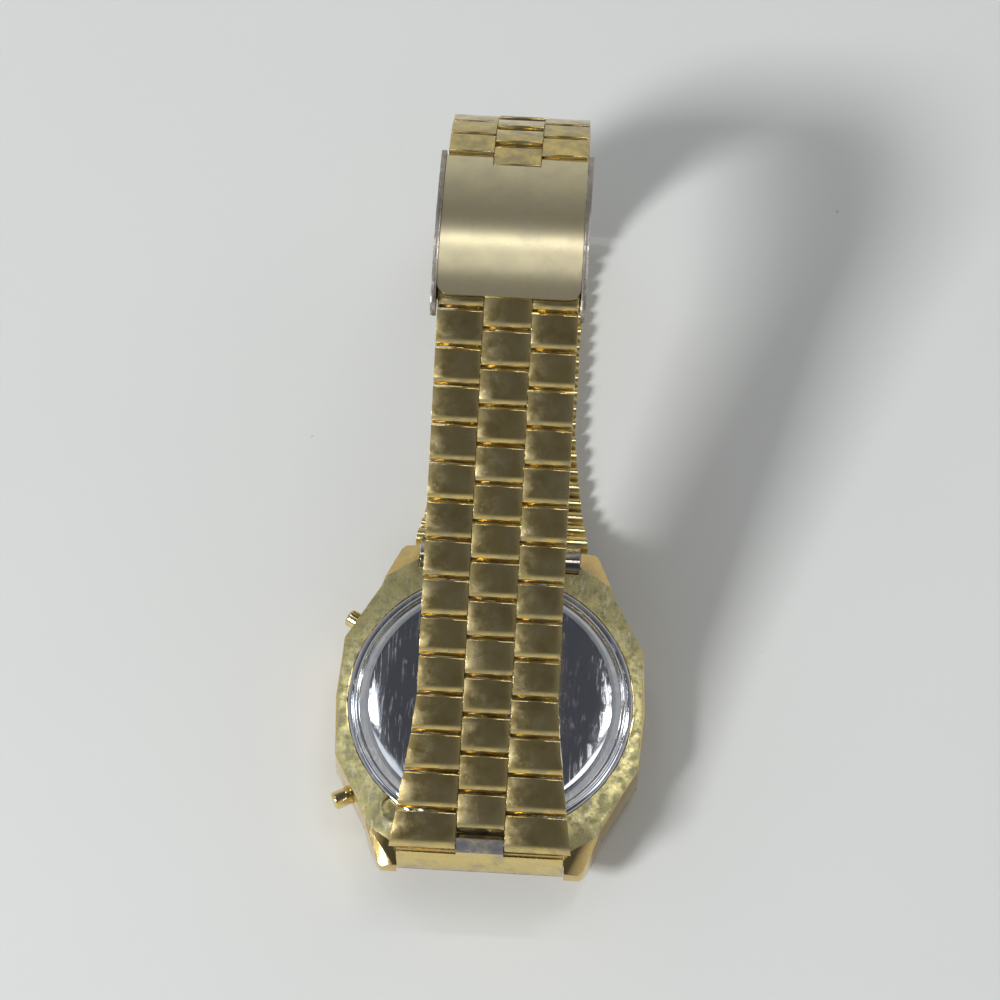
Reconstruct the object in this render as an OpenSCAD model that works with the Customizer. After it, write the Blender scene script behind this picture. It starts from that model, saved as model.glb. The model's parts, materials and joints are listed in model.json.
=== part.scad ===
// Digital wrist watch lying face down, with its folded-link bracelet closed in a loop.
// The crystal rests on the plane z = 0, the back of the case faces up, +Y is the far side.

/* [Case] */
// Width of the case across its two flat sides
case_w = 33.8; // [32.5:0.1:36]
// Length of the case between the two gaps for the bracelet
case_l = 32.3; // [32.1:0.1:33]
// Height of the ring round the back, above the plane of the crystal
case_t = 7.9; // [7.7:0.1:9]
// How far the side corners stand from the middle line
side_corner_y = 7; // [6:0.1:8]
// Half width of the case at its shoulders
shoulder_x = 13; // [12.5:0.1:14]
// Distance of the shoulders from the middle line
shoulder_y = 13.4; // [12.8:0.1:14]
// Slope of the front rim, measured inwards
front_bevel = 2.5; // [1.5:0.1:2.8]
// Height of the sloping front rim
front_bevel_h = 1.9; // [1:0.1:2.5]
// Edge broken round the back
back_bevel = 0.3; // [0.2:0.05:0.6]
// Slope of the ring round the back, in degrees
ring_slope = 8; // [4:0.5:10]

/* [Lugs] */
// Gap between the lugs
lug_gap = 18; // [17:0.1:18.4]
// Thickness of a lug at its tip
lug_w = 1.9; // [1.5:0.1:2.4]
// Lug tip beyond the spring bar
lug_tip = 1.4; // [1.2:0.1:1.8]
// Slope of the polished top of a lug, in degrees
lug_slope = 20; // [10:1:25]
// Height of the spring bars
bar_z = 6.3; // [6:0.1:6.8]
// Spring bar beyond the end of the case
bar_out = 1.65; // [1.6:0.05:2]
// Diameter of the spring bar tube
bar_d = 1.5; // [1.2:0.1:1.7]
// Diameter of the spring bar tips
bar_tip_d = 0.76; // [0.6:0.02:1]

/* [Back] */
// Diameter of the snap-in back
back_d = 31.2; // [30:0.1:31.4]
// Rise of the domed back above the ring
back_rise = 0.7; // [0.4:0.05:1]
// Sheet thickness of the back
back_t = 0.5; // [0.4:0.05:0.6]
// Diameter of the flat middle of the back
back_flat_d = 26.4; // [24:0.1:27]

/* [Front] */
// Width of the crystal
crystal_w = 25.2; // [22:0.1:25.6]
// Length of the crystal
crystal_l = 23.2; // [20:0.1:23.6]
// Cut corner of the crystal
crystal_cut = 3.4; // [2.8:0.1:5]
// Thickness of the crystal
crystal_t = 1.7; // [1.2:0.1:1.8]
// Width of the crystal gasket
crystal_gasket_w = 0.45; // [0.3:0.05:0.5]
// Crystal proud of the front rim
crystal_proud = 0.3; // [0.1:0.05:0.5]
// Width of the display window
window_w = 19; // [15:0.1:20]
// Height of the display window
window_h = 8.6; // [7:0.1:10]

/* [Bracelet] */
// Width of the bracelet
strap_w = 15; // [13:0.1:16]
// Width of the first row at the case
first_row_w = 19.4; // [18:0.1:20]
// Number of rows that narrow from the case
taper_rows = 4; // [3:1:6]
// Thickness of a link
strap_t = 2; // [1.8:0.05:2.2]
// Thickness of the folded sheet
sheet_t = 0.45; // [0.35:0.01:0.55]
// Length from one row to the next
link_pitch = 4.1; // [3.9:0.05:4.4]
// Width of the middle column
middle_w = 5.05; // [4:0.05:6]
// Diameter of the link pins
pin_d = 0.84; // [0.7:0.02:0.9]
// Rows of the near half, up to the clasp
near_rows = 14; // [12:1:15]
// Slope of the near half above the table
near_slope = 27; // [20:0.5:32]
// Rows of the far half that lie flat on the table
flat_rows = 6; // [5:1:7]
// Distance from a spring bar to the first hinge of the bracelet
end_l = 5.45; // [5:0.05:5.8]
// Elbow of the end piece
end_elbow = 40; // [34:1:42]

/* [Clasp] */
// Outer radius of the curved cover
cover_r = 25; // [23:0.5:32]
// Angle that the cover spans
cover_turn = 43; // [40:1:44]
// Width of the cover
cover_w = 15.3; // [15.2:0.05:15.8]
// Sheet thickness of the cover
cover_t = 0.6; // [0.4:0.05:0.7]
// Rounding of the free corners of the cover
cover_corner = 1.6; // [0.8:0.1:2.5]
// Sheet thickness of the channel
channel_t = 0.55; // [0.4:0.05:0.7]
// Diameter of the clasp hinge pin
clasp_pin_d = 0.9; // [0.8:0.02:1]

/* [Pushers] */
// Diameter of a pusher cap
pusher_d = 2; // [1.6:0.1:2.4]
// Pusher beyond the case
pusher_out = 2; // [1.2:0.1:2.4]
// Travel of a pusher
pusher_travel = 0.9; // [0.5:0.1:1]
// Height of the pusher axis
pusher_z = 4; // [3.8:0.1:4.2]
// Diameter of the pusher stem
stem_d = 1.2; // [0.9:0.1:1.4]

/* [Movement] */
// Diameter of the battery
battery_d = 9.5; // [7.9:0.1:9.5]
// Height of the battery
battery_h = 2.1; // [1.6:0.1:2.1]
// Width of the display glass
lcd_w = 20.6; // [20.2:0.1:21]
// Height of the display glass
lcd_h = 12; // [11:0.1:12.6]
// Thickness of the display glass
lcd_t = 1.3; // [1:0.1:1.4]

/* [Hidden] */
$fn = 72;
fine = 0.02;
running = 0.04;
side_gap = 0.1;
row_gap = 0.1;
deg = 180 / PI;

// Bracelet links, in a frame whose origin is the first pin, X along the strap, Y outwards
barrel_r = strap_t / 2;
eye_r = barrel_r - 0.2;
pin_r = pin_d / 2;
pin_hole_r = pin_r + running;
half_pitch = link_pitch / 2;
plate_end = link_pitch - barrel_r - row_gap;
side_in = middle_w / 2 + side_gap;
pin_inset = 0.2;

// End pieces and spring bars
bar_y = case_l / 2 + bar_out;
lug_reach = bar_y + lug_tip;
bar_wrap_r = bar_out - 0.25;
bar_bore_r = bar_d / 2 + 0.05;
end_half_w = lug_gap / 2 - side_gap;
near_end_dir = 91.6;
far_end_dir = -38;
tongue_end = plate_end - half_pitch - 0.1;

// Near half, from the case over its back to the clasp
near_bar = [-bar_y, bar_z];
far_bar = [bar_y, bar_z];
function ray(a) = [cos(a), sin(a)];
near_first = near_bar + end_l * ray(near_end_dir);
near_last = near_first + near_rows * link_pitch * ray(near_slope);

// Clasp arc: a place on it is given by its radius and by the slope of the arc there
mid_r = cover_r - cover_t - 0.15 - barrel_r;
lip_slope = near_slope - 8;
lip_after = 0.2;
strap_slope = lip_slope + deg * lip_after / mid_r;
arc_centre = near_last - mid_r * [-sin(strap_slope), cos(strap_slope)];
function arc_at(r, slope) = arc_centre + r * [-sin(slope), cos(slope)];
row_slope = 2 * asin(half_pitch / mid_r);
seam_slope = lip_slope - cover_turn;
hinge_r = cover_r - barrel_r;
hinge_slope = seam_slope + deg * barrel_r / hinge_r;
clasp_hinge = arc_at(hinge_r, hinge_slope);
clasp_pin_r = clasp_pin_d / 2;
wall_in = cover_w / 2 + 0.05;
wall_out = wall_in + channel_t;
floor_r = mid_r - barrel_r - 0.2;
wall_top_r = cover_r + 0.15;
wall_low_r = floor_r - channel_t - 0.1;
wall_mid_r = (wall_low_r + wall_top_r) / 2;
wall_end_r = (wall_top_r - wall_low_r) / 2;
floor_end_slope = hinge_slope + deg * 2.6 / mid_r;
tail_rows = 2;

// Far half: slopes of its rows, from the case along the table and up to the clasp.
// Two small corrections, one equal and one that grows along the rows, close the loop.
far_first = far_bar + end_l * ray(far_end_dir);
table_z = barrel_r + 0.05;
first_drop = -20;
second_drop = -asin(min(1, max(-1,
    (far_first[1] + link_pitch * sin(first_drop) - table_z) / link_pitch)));
flat_dirs = concat([first_drop, second_drop], [for (i = [1:flat_rows]) 0]);
rise_dirs = [8, 34, 60, 81, 90, 96, 102, 111, 121, 132, 143, 155];
rise_n = len(rise_dirs);
function total(v, i = 0) = i < len(v) ? v[i] + total(v, i + 1) : 0;
function lean(i) = 2 * i / (rise_n - 1) - 1;
function rise(p, q) = [for (i = [0:rise_n - 1]) rise_dirs[i] + p + q * lean(i)];
function reach(v) = link_pitch * [total([for (a = v) cos(a)]), total([for (a = v) sin(a)])];
rise_goal = clasp_hinge - far_first - reach(flat_dirs);
function close_loop(p, q, steps) = steps == 0 ? [p, q] :
    let (v = rise(p, q),
         miss = rise_goal - reach(v),
         k = link_pitch / deg,
         a = -k * total([for (s = v) sin(s)]),
         b = -k * total([for (i = [0:rise_n - 1]) sin(v[i]) * lean(i)]),
         c = k * total([for (s = v) cos(s)]),
         d = k * total([for (i = [0:rise_n - 1]) cos(v[i]) * lean(i)]),
         det = a * d - b * c)
    close_loop(p + (d * miss[0] - b * miss[1]) / det, q + (a * miss[1] - c * miss[0]) / det,
               steps - 1);
closing = close_loop(0, 0, 8);
near_dirs = [for (i = [1:near_rows]) near_slope];
far_dirs = concat(flat_dirs, rise(closing[0], closing[1]));
far_rows = len(far_dirs);
function walk(p, dirs, i = 0) =
    i >= len(dirs) ? [p] : concat([p], walk(p + link_pitch * ray(dirs[i]), dirs, i + 1));
near_pts = walk(near_first, near_dirs);
far_pts = walk(far_first, far_dirs);

// Levels of the case and what it holds, upwards from the crystal
rim_z = crystal_proud;
shelf_t = 0.5;
shelf_z = crystal_t;
mask_z = shelf_z + shelf_t;
mask_t = 0.3;
module_z = mask_z + mask_t;
housing_h = 2.4;
board_z = module_z + housing_h;
board_t = 0.6;
battery_z = board_z + board_t;
back_z = case_t + back_rise;
seat_z = case_t - 0.65;
skirt_z = seat_z - 1.25;
gasket_t = 0.4;
cavity_r = 13.6;
module_r = cavity_r - 0.2;
board_r = module_r - 0.5;
seat_r = back_d / 2 + fine;
skirt_r = back_d / 2 - 0.75;
skirt_t = back_t;
shelf_w = 1;
battery_at = [3.2, -4.4];
buzzer_at = [-7.4, 5.2];
strip_w = 1.1;
strip_l = lcd_w - 1;
strip_y = lcd_h / 2 - strip_w;

// Pushers: square to the diagonal sides of the case
side_x = case_w / 2 - 0.4;
facet = [side_x - shoulder_x, shoulder_y - side_corner_y];
pusher_dir = atan2(facet[0], facet[1]);
pusher_at = [(side_x + shoulder_x) / 2, (side_corner_y + shoulder_y) / 2];
pusher_in = 0.9;
stem_in = 5.2;
cone_r = back_d / 2 + 0.1 + case_t / tan(ring_slope);
function ring_z(r) = case_t - (r - back_d / 2 - 0.1) * tan(ring_slope);
cap_bore_depth = pusher_in + pusher_travel + 0.45;
spring_h = 0.3;
clip_t = 0.25;

function two(i) = i < 10 ? str("0", i) : str(i);
near_names = [for (i = [1:near_rows]) str("near_row_", two(i))];
far_names = [for (i = [1:far_rows]) str("far_row_", two(i))];

// Puts a shape drawn with X along the strap and Y outwards at a place in the loop.
// The near half has its outer side on the left of its direction, the far half on the right.
module near_frame(place, slope)
    translate([0, place[0], place[1]]) rotate([slope, 0, 0]) rotate([90, 0, 90]) children();
module far_frame(place, slope) near_frame(place, slope) mirror([0, 1, 0]) children();
module both_sides() {
    children();
    mirror([0, 0, 1]) children();
}
module four_ways() {
    children();
    mirror([1, 0, 0]) children();
    mirror([0, 1, 0]) children();
    mirror([1, 0, 0]) mirror([0, 1, 0]) children();
}

// Case
module case_outline(inset)
    offset(delta = -inset)
        polygon([for (s = [[1, 1], [-1, 1], [-1, -1], [1, -1]]) each
            (s[0] * s[1] > 0)
                ? [[s[0] * case_w / 2, 0], [s[0] * side_x, s[1] * side_corner_y],
                   [s[0] * shoulder_x, s[1] * shoulder_y],
                   [s[0] * lug_gap / 2, s[1] * case_l / 2]]
                : [[s[0] * lug_gap / 2, s[1] * case_l / 2],
                   [s[0] * shoulder_x, s[1] * shoulder_y],
                   [s[0] * side_x, s[1] * side_corner_y]]]);
module case_slab(z, inset) translate([0, 0, z]) linear_extrude(0.01) case_outline(inset);
module case_block()
    hull() {
        case_slab(rim_z, front_bevel);
        case_slab(rim_z + front_bevel_h, 0);
        case_slab(case_t - 1.2 * back_bevel, 0);
        case_slab(case_t - 0.01, back_bevel);
    }
// Side view of a lug: it bends towards the wrist round the spring bar
module lug_side()
    polygon([[shoulder_y - 1, rim_z + front_bevel_h], [bar_y - 1.6, rim_z + front_bevel_h],
             [bar_y + 0.2, bar_z - 3], [lug_reach - 0.1, bar_z - 1.6],
             [lug_reach, bar_z + 0.4], [lug_reach - 0.25, bar_z + 0.9],
             [lug_reach - 0.6, case_t], [shoulder_y - 1, case_t]]);
module lug_plan()
    polygon([[lug_gap / 2, shoulder_y - 1], [shoulder_x + 0.15, shoulder_y - 0.6],
             [shoulder_x - 0.6, shoulder_y + 1.9], [lug_gap / 2 + lug_w + 0.15, lug_reach - 0.5],
             [lug_gap / 2 + lug_w - 0.3, lug_reach], [lug_gap / 2, lug_reach]]);
// The matte ring goes a little way onto the lug, up to a slanting edge
module lug_top_cut()
    translate([lug_gap / 2, bar_y - 0.6, ring_z(norm([lug_gap / 2, bar_y - 0.6]))])
        rotate([0, 0, -34]) rotate([-lug_slope, 0, 0]) translate([-3, 0, 0]) cube([12, 6, 4]);
module lug()
    difference() {
        intersection() {
            linear_extrude(case_t + 3) lug_plan();
            translate([lug_gap / 2 - 1, 0, 0]) rotate([90, 0, 90])
                linear_extrude(lug_w + 8) lug_side();
        }
        lug_top_cut();
    }
module ring_cone()
    cylinder(r1 = cone_r, r2 = back_d / 2 + 0.1, h = case_t);
module octagon(w, l, cut)
    polygon([[w / 2, l / 2 - cut], [w / 2 - cut, l / 2], [cut - w / 2, l / 2],
             [-w / 2, l / 2 - cut], [-w / 2, cut - l / 2], [cut - w / 2, -l / 2],
             [w / 2 - cut, -l / 2], [w / 2, cut - l / 2]]);
module crystal_plate(grow, h)
    linear_extrude(h) octagon(crystal_w + 2 * grow, crystal_l + 2 * grow,
                              crystal_cut + grow * 0.6);
module in_pusher(side)
    translate([-pusher_at[0], side * pusher_at[1], pusher_z])
        rotate([0, 0, 180 - side * pusher_dir]) rotate([0, 90, 0]) children();
module pusher_bore() {
    translate([0, 0, -cap_bore_depth]) cylinder(r = pusher_d / 2 + running, h = cap_bore_depth + 3);
    translate([0, 0, -8]) cylinder(r = stem_d / 2 + running, h = 8);
}
module case_body()
    color("darkkhaki") difference() {
        intersection() {
            union() {
                case_block();
                four_ways() lug();
            }
            ring_cone();
        }
        translate([0, 0, -1]) crystal_plate(crystal_gasket_w + fine, shelf_z + 1);
        translate([0, 0, shelf_z - 0.1]) crystal_plate(-shelf_w, shelf_t + 0.2);
        translate([0, 0, mask_z]) cylinder(r = cavity_r, h = case_t);
        translate([0, 0, skirt_z - gasket_t]) cylinder(r = skirt_r + fine, h = case_t);
        translate([0, 0, seat_z]) cylinder(r = seat_r, h = case_t);
        rotate([0, 0, 234]) translate([back_d / 2 + 0.5, 0, case_t - 0.45])
            cylinder(r = 1.5, h = 2);
        four_ways() translate([lug_gap / 2 - 1, bar_y, bar_z]) rotate([0, 90, 0])
            cylinder(r = bar_tip_d / 2 + running, h = 2.1);
        for (side = [-1, 1]) in_pusher(side) pusher_bore();
    }
module caseback()
    color("slategray") rotate_extrude() polygon([
        [0, back_z], [back_flat_d / 2, back_z], [back_flat_d / 2 + 0.5, back_z - 0.14],
        [skirt_r - 0.65, back_z - 0.5], [skirt_r - 0.5, back_z - 0.58],
        [skirt_r - 0.35, back_z - 0.46], [skirt_r - 0.05, back_z - 0.46],
        [skirt_r + 0.1, back_z - 0.58], [back_d / 2 - 0.1, case_t + 0.05],
        [back_d / 2, case_t - 0.05], [back_d / 2, seat_z], [skirt_r, seat_z],
        [skirt_r, skirt_z], [skirt_r - skirt_t, skirt_z], [skirt_r - skirt_t, back_z - 1.08],
        [back_flat_d / 2, back_z - back_t], [0, back_z - back_t]]);
module caseback_gasket()
    color("dimgray") translate([0, 0, skirt_z - gasket_t]) difference() {
        cylinder(r = skirt_r, h = gasket_t);
        translate([0, 0, -1]) cylinder(r = cavity_r + 0.1, h = gasket_t + 2);
    }
module crystal() color("lightcyan") crystal_plate(0, crystal_t);
module crystal_gasket()
    color("gray") translate([0, 0, rim_z + 0.1]) difference() {
        crystal_plate(crystal_gasket_w, shelf_z - rim_z - 0.1);
        translate([0, 0, -1]) crystal_plate(0, crystal_t + 2);
    }

// Display and movement, stacked on the shelf behind the crystal
module window(h) linear_extrude(h) square([window_w, window_h], center = true);
module dial_mask()
    color("black") translate([0, 0, mask_z]) difference() {
        cylinder(r = module_r, h = mask_t);
        translate([0, 0, -1]) window(mask_t + 2);
    }
module lcd_glass()
    color("darkseagreen") translate([0, 0, module_z])
        linear_extrude(lcd_t) square([lcd_w, lcd_h], center = true);
module contact_strips()
    color("lightpink") for (s = [-1, 1])
        translate([-strip_l / 2, s * strip_y - strip_w / 2, module_z + lcd_t])
            cube([strip_l, strip_w, board_z - module_z - lcd_t]);
module module_housing()
    color("dimgray") translate([0, 0, module_z]) difference() {
        cylinder(r = module_r, h = housing_h);
        translate([0, 0, -1]) linear_extrude(lcd_t + 1 + fine)
            square([lcd_w + 0.1, lcd_h + 0.1], center = true);
        for (s = [-1, 1])
            translate([-strip_l / 2 - 0.05, s * strip_y - strip_w / 2 - 0.05, lcd_t - 1])
                cube([strip_l + 0.1, strip_w + 0.1, housing_h]);
        translate([-strip_l / 2, -2.5, -1]) cube([strip_l, 5, housing_h + 2]);
        for (side = [-1, 1]) translate([0, 0, -module_z]) in_pusher(side)
            translate([0, 0, -stem_in - pusher_travel - 1.2])
                cylinder(r = stem_d / 2 + 0.9, h = 4);
    }
module circuit_board()
    color("darkgreen") translate([0, 0, board_z]) difference() {
        cylinder(r = board_r, h = board_t);
        for (s = [-1, 1]) translate([s * (board_r - 1.6), -s * 3, -1])
            cylinder(r = 0.6, h = board_t + 2);
    }
module battery()
    color("silver") translate([battery_at[0], battery_at[1], battery_z]) {
        cylinder(d = battery_d, h = battery_h - 0.5);
        translate([0, 0, battery_h - 0.5]) cylinder(d = battery_d - 1.1, h = 0.5);
    }
module battery_clip()
    color("gold") translate([battery_at[0], battery_at[1], battery_z]) {
        clip_r = battery_d / 2 + 0.15;
        for (s = [-1, 1]) translate([s > 0 ? clip_r : -clip_r - 0.3, -1.2, 0])
            cube([0.3, 2.4, battery_h + 0.2]);
        translate([-clip_r, -1.2, battery_h]) cube([2 * clip_r, 2.4, 0.2]);
    }
module buzzer_spring()
    color("gold") translate([buzzer_at[0], buzzer_at[1], battery_z]) {
        cylinder(r = 1.3, h = 0.5);
        cylinder(r = 0.7, h = back_z - back_t - fine - battery_z);
    }

// Pushers, drawn with Z outwards from the side of the case
module pusher()
    color("gold") {
        difference() {
            union() {
                translate([0, 0, -pusher_in])
                    cylinder(d = pusher_d, h = pusher_in + pusher_out - 0.2);
                translate([0, 0, pusher_out - 0.2])
                    cylinder(d1 = pusher_d, d2 = pusher_d - 0.4, h = 0.2);
                translate([0, 0, -stem_in]) cylinder(d = stem_d, h = stem_in);
            }
            translate([0, 0, -stem_in + 0.2]) difference() {
                cylinder(d = stem_d + 1, h = clip_t + 0.05);
                translate([0, 0, -1]) cylinder(d = stem_d - 0.4, h = clip_t + 3);
            }
        }
        translate([0, 0, -stem_in + 0.22]) difference() {
            cylinder(d = stem_d + 0.7, h = clip_t);
            translate([0, 0, -1]) cylinder(d = stem_d - 0.36, h = clip_t + 2);
            translate([0, -0.3, -1]) cube([3, 0.6, clip_t + 2]);
        }
    }
module pusher_upper() in_pusher(1) pusher();
module pusher_lower() in_pusher(-1) pusher();
module pusher_springs()
    color("silver") for (side = [-1, 1]) in_pusher(side)
        translate([0, 0, -cap_bore_depth + fine]) difference() {
            cylinder(r = pusher_d / 2 - 0.05, h = spring_h);
            translate([0, 0, -1]) cylinder(r = stem_d / 2 + 0.08, h = spring_h + 2);
        }

// Spring bars and end pieces
module spring_bar() {
    tube_half = end_half_w - 0.2;
    color("silver") rotate([0, 90, 0]) {
        cylinder(d = bar_d, h = 2 * tube_half, center = true);
        cylinder(d = bar_tip_d, h = lug_gap + 2, center = true);
    }
}
module near_spring_bar() translate([0, near_bar[0], near_bar[1]]) spring_bar();
module far_spring_bar() translate([0, far_bar[0], far_bar[1]]) spring_bar();
// Full width part: wraps the spring bar and stops short of the first row
module end_bar_profile()
    union() {
        circle(bar_wrap_r);
        polygon([[0, -bar_wrap_r], [end_l - 2, -1], [end_l - 1.25, -0.5], [end_l - 1.25, 0.7],
                 [end_l - 0.75, bar_wrap_r - 0.1], [end_l - 0.95, bar_wrap_r], [0, bar_wrap_r]]);
    }
// Middle tongue: bends inwards and ends as a middle link does
module tongue_profile() {
    translate([end_l, 0]) rotate(-end_elbow) {
        circle(eye_r);
        translate([-0.9, barrel_r - sheet_t]) square([0.9 + tongue_end, sheet_t]);
    }
    polygon([[end_l - 2, bar_wrap_r], [end_l - 0.5, bar_wrap_r], [end_l - 0.06, 1.32],
             [end_l, 0.9], [end_l + 0.3, 0], [end_l, -0.5], [end_l - 2, -0.9]]);
}
module end_piece()
    color("goldenrod") difference() {
        union() {
            linear_extrude(2 * end_half_w, center = true) end_bar_profile();
            linear_extrude(middle_w, center = true) union() {
                end_bar_profile();
                tongue_profile();
            }
        }
        cylinder(r = bar_bore_r, h = 2 * end_half_w + 1, center = true);
        translate([end_l, 0, 0]) cylinder(r = pin_hole_r, h = middle_w + 1, center = true);
    }
module near_end_piece() near_frame(near_bar, near_end_dir) end_piece();
module far_end_piece() far_frame(far_bar, far_end_dir) end_piece();

// Folded links
module link_profile()
    difference() {
        union() {
            circle(barrel_r);
            translate([0, barrel_r - sheet_t]) square([plate_end, sheet_t]);
            translate([half_pitch, 0]) circle(eye_r);
        }
        circle(pin_hole_r);
        translate([half_pitch, 0]) circle(pin_hole_r);
    }
function half_w(i) = strap_w / 2
    + (first_row_w - strap_w) / 2 * pow(max(0, 1 - i / taper_rows), 1.2);
module outer_link(row) {
    w0 = half_w(row - 1);
    w1 = half_w(row);
    slope = (w1 - w0) / link_pitch;
    if (w0 == w1) translate([0, 0, side_in]) linear_extrude(w0 - side_in) link_profile();
    else intersection() {
        translate([0, 0, side_in]) linear_extrude(w0 + 1 - side_in) link_profile();
        rotate([90, 0, 0]) linear_extrude(2 * strap_t, center = true)
            polygon([[-2, side_in], [link_pitch, side_in],
                     [link_pitch, w0 + slope * (link_pitch + barrel_r)],
                     [-2, w0 + slope * (barrel_r - 2)]]);
    }
}
module link_pin(row) cylinder(r = pin_r, h = 2 * (half_w(row) - pin_inset), center = true);
module row_of_links(row, last = false) {
    color("darkkhaki") both_sides() outer_link(row);
    color("khaki") translate([half_pitch, 0, 0]) linear_extrude(middle_w, center = true)
        link_profile();
    color("gold") {
        link_pin(row);
        translate([half_pitch, 0, 0]) link_pin(row);
        if (last) translate([link_pitch, 0, 0]) cylinder(r = pin_r, h = middle_w, center = true);
    }
}
module near_row(i) near_frame(near_pts[i - 1], near_dirs[i - 1]) row_of_links(i);
module far_row(i)
    far_frame(far_pts[i - 1], far_dirs[i - 1]) row_of_links(i, i == far_rows);
// Rows of the strap end under the cover, on the arc of the clasp
module near_strap_end()
    for (i = [0:tail_rows - 1])
        near_frame(arc_at(mid_r, strap_slope - i * row_slope), strap_slope - (i + 0.5) * row_slope)
            row_of_links(near_rows + i + 1);

// Clasp
module sector(r_in, r_out, slope_a, slope_b) {
    far_r = 1.2 * r_out;
    intersection() {
        difference() {
            circle(r_out, $fn = 180);
            circle(r_in, $fn = 180);
        }
        polygon([[0, 0], far_r * ray(90 + slope_b), far_r * ray(90 + (slope_a + slope_b) / 2),
                 far_r * ray(90 + slope_a)]);
    }
}
module on_arc() translate([0, arc_centre[0], arc_centre[1]]) rotate([90, 0, 90]) children();
module wall_profile()
    intersection() {
        difference() {
            circle(wall_top_r, $fn = 180);
            circle(wall_low_r, $fn = 180);
        }
        union() {
            polygon([[0, 0], 2 * cover_r * ray(90 + hinge_slope),
                     2 * cover_r * ray(90 + (hinge_slope + lip_slope) / 2),
                     2 * cover_r * ray(90 + lip_slope)]);
            for (slope = [lip_slope, hinge_slope])
                translate(wall_mid_r * ray(90 + slope)) circle(1.1 * wall_end_r);
        }
    }
slot_n = 4;
slot_pitch = 2;
module clasp_channel()
    color("lightslategray") difference() {
        on_arc() {
            for (s = [-1, 1]) translate([0, 0, s > 0 ? wall_in : -wall_out])
                linear_extrude(channel_t) wall_profile();
            linear_extrude(2 * wall_in + 0.2, center = true)
                sector(floor_r - channel_t, floor_r, lip_slope, floor_end_slope);
        }
        for (i = [0:slot_n - 1])
            translate([0, arc_centre[0], arc_centre[1]])
                rotate([lip_slope - 12 - i * deg * slot_pitch / floor_r, 0, 0])
                    translate([0, 0, floor_r]) cube([9, 0.9, 3], center = true);
        translate([0, clasp_hinge[0], clasp_hinge[1]]) rotate([0, 90, 0])
            cylinder(r = clasp_pin_r + running, h = 2 * wall_out + 2, center = true);
    }
notch_r = norm([tongue_end + 0.1, barrel_r]) + 0.1;
module clasp_cover()
    color("darkkhaki") difference() {
        union() {
            on_arc() linear_extrude(cover_w, center = true)
                sector(cover_r - cover_t, cover_r, lip_slope, hinge_slope);
            translate([0, clasp_hinge[0], clasp_hinge[1]]) rotate([0, 90, 0])
                cylinder(r = barrel_r, h = cover_w, center = true);
        }
        translate([0, clasp_hinge[0], clasp_hinge[1]]) rotate([0, 90, 0])
            cylinder(r = clasp_pin_r + running, h = cover_w + 2, center = true);
        translate([0, clasp_hinge[0], clasp_hinge[1]]) rotate([0, 90, 0])
            cylinder(r = notch_r, h = 2 * side_in, center = true);
        near_frame(arc_at(cover_r, lip_slope), lip_slope) both_sides()
            translate([0, -1.5, cover_w / 2 - cover_corner]) difference() {
                translate([-0.5, 0, 0]) cube([cover_corner + 0.5, 2, 3]);
                translate([cover_corner, -1, 0]) rotate([-90, 0, 0])
                    cylinder(r = cover_corner, h = 4);
            }
    }
// Two halves, which leave the last middle link of the far half free to come away
module clasp_hinge_pin()
    color("silver") translate([0, clasp_hinge[0], clasp_hinge[1]]) rotate([0, 90, 0])
        both_sides() translate([0, 0, side_in + 0.1])
            cylinder(r = clasp_pin_r, h = wall_out - side_in - 0.15);
// Block at the strap end, with a notch for the last middle link
slider_l = 3.4;
slider_half_w = strap_w / 2 - 0.1;
module clasp_slider()
    near_frame(arc_at(mid_r, strap_slope - tail_rows * row_slope),
               strap_slope - (tail_rows + 0.5) * row_slope) {
        color("lightslategray") difference() {
            linear_extrude(2 * slider_half_w, center = true) union() {
                circle(barrel_r - 0.05);
                translate([0, 0.05 - barrel_r]) square([slider_l, 2 * barrel_r - 0.2]);
            }
            translate([-2, -2, -side_in]) cube([2 + half_pitch - barrel_r + 0.15, 4, 2 * side_in]);
            translate([slider_l - 1.4, barrel_r - 0.6, -5]) cube([0.7, 1, 10]);
            cylinder(r = pin_hole_r, h = 2 * slider_half_w + 1, center = true);
        }
        color("gold") cylinder(r = pin_r, h = 2 * slider_half_w - 0.4, center = true);
    }

case_body();
caseback();
caseback_gasket();
crystal();
crystal_gasket();
dial_mask();
lcd_glass();
contact_strips();
module_housing();
circuit_board();
battery();
battery_clip();
buzzer_spring();
pusher_upper();
pusher_lower();
pusher_springs();
near_spring_bar();
far_spring_bar();
near_end_piece();
far_end_piece();
for (i = [1:near_rows]) near_row(i);
near_strap_end();
clasp_slider();
clasp_channel();
clasp_cover();
clasp_hinge_pin();
for (i = [1:far_rows]) far_row(i);
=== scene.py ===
import json
import math

import bmesh
import bpy
from mathutils import Matrix, Vector


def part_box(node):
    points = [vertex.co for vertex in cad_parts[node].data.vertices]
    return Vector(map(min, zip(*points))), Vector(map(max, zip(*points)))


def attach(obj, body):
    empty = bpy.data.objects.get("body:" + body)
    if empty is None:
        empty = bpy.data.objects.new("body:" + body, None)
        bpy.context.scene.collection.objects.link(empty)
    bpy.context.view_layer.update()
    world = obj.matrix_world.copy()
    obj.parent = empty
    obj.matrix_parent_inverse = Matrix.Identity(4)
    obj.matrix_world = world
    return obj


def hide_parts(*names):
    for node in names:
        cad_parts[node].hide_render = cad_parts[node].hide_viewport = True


bl_info = {
    "name": "Watch with a folded-link bracelet",
    "version": (1, 0, 0),
    "blender": (4, 5, 0),
    "location": "3D View > Sidebar > Watch",
    "description": "Dresses the packed watch: links, clasp, case, back, display and its plain stage",
    "category": "Object",
}

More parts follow.
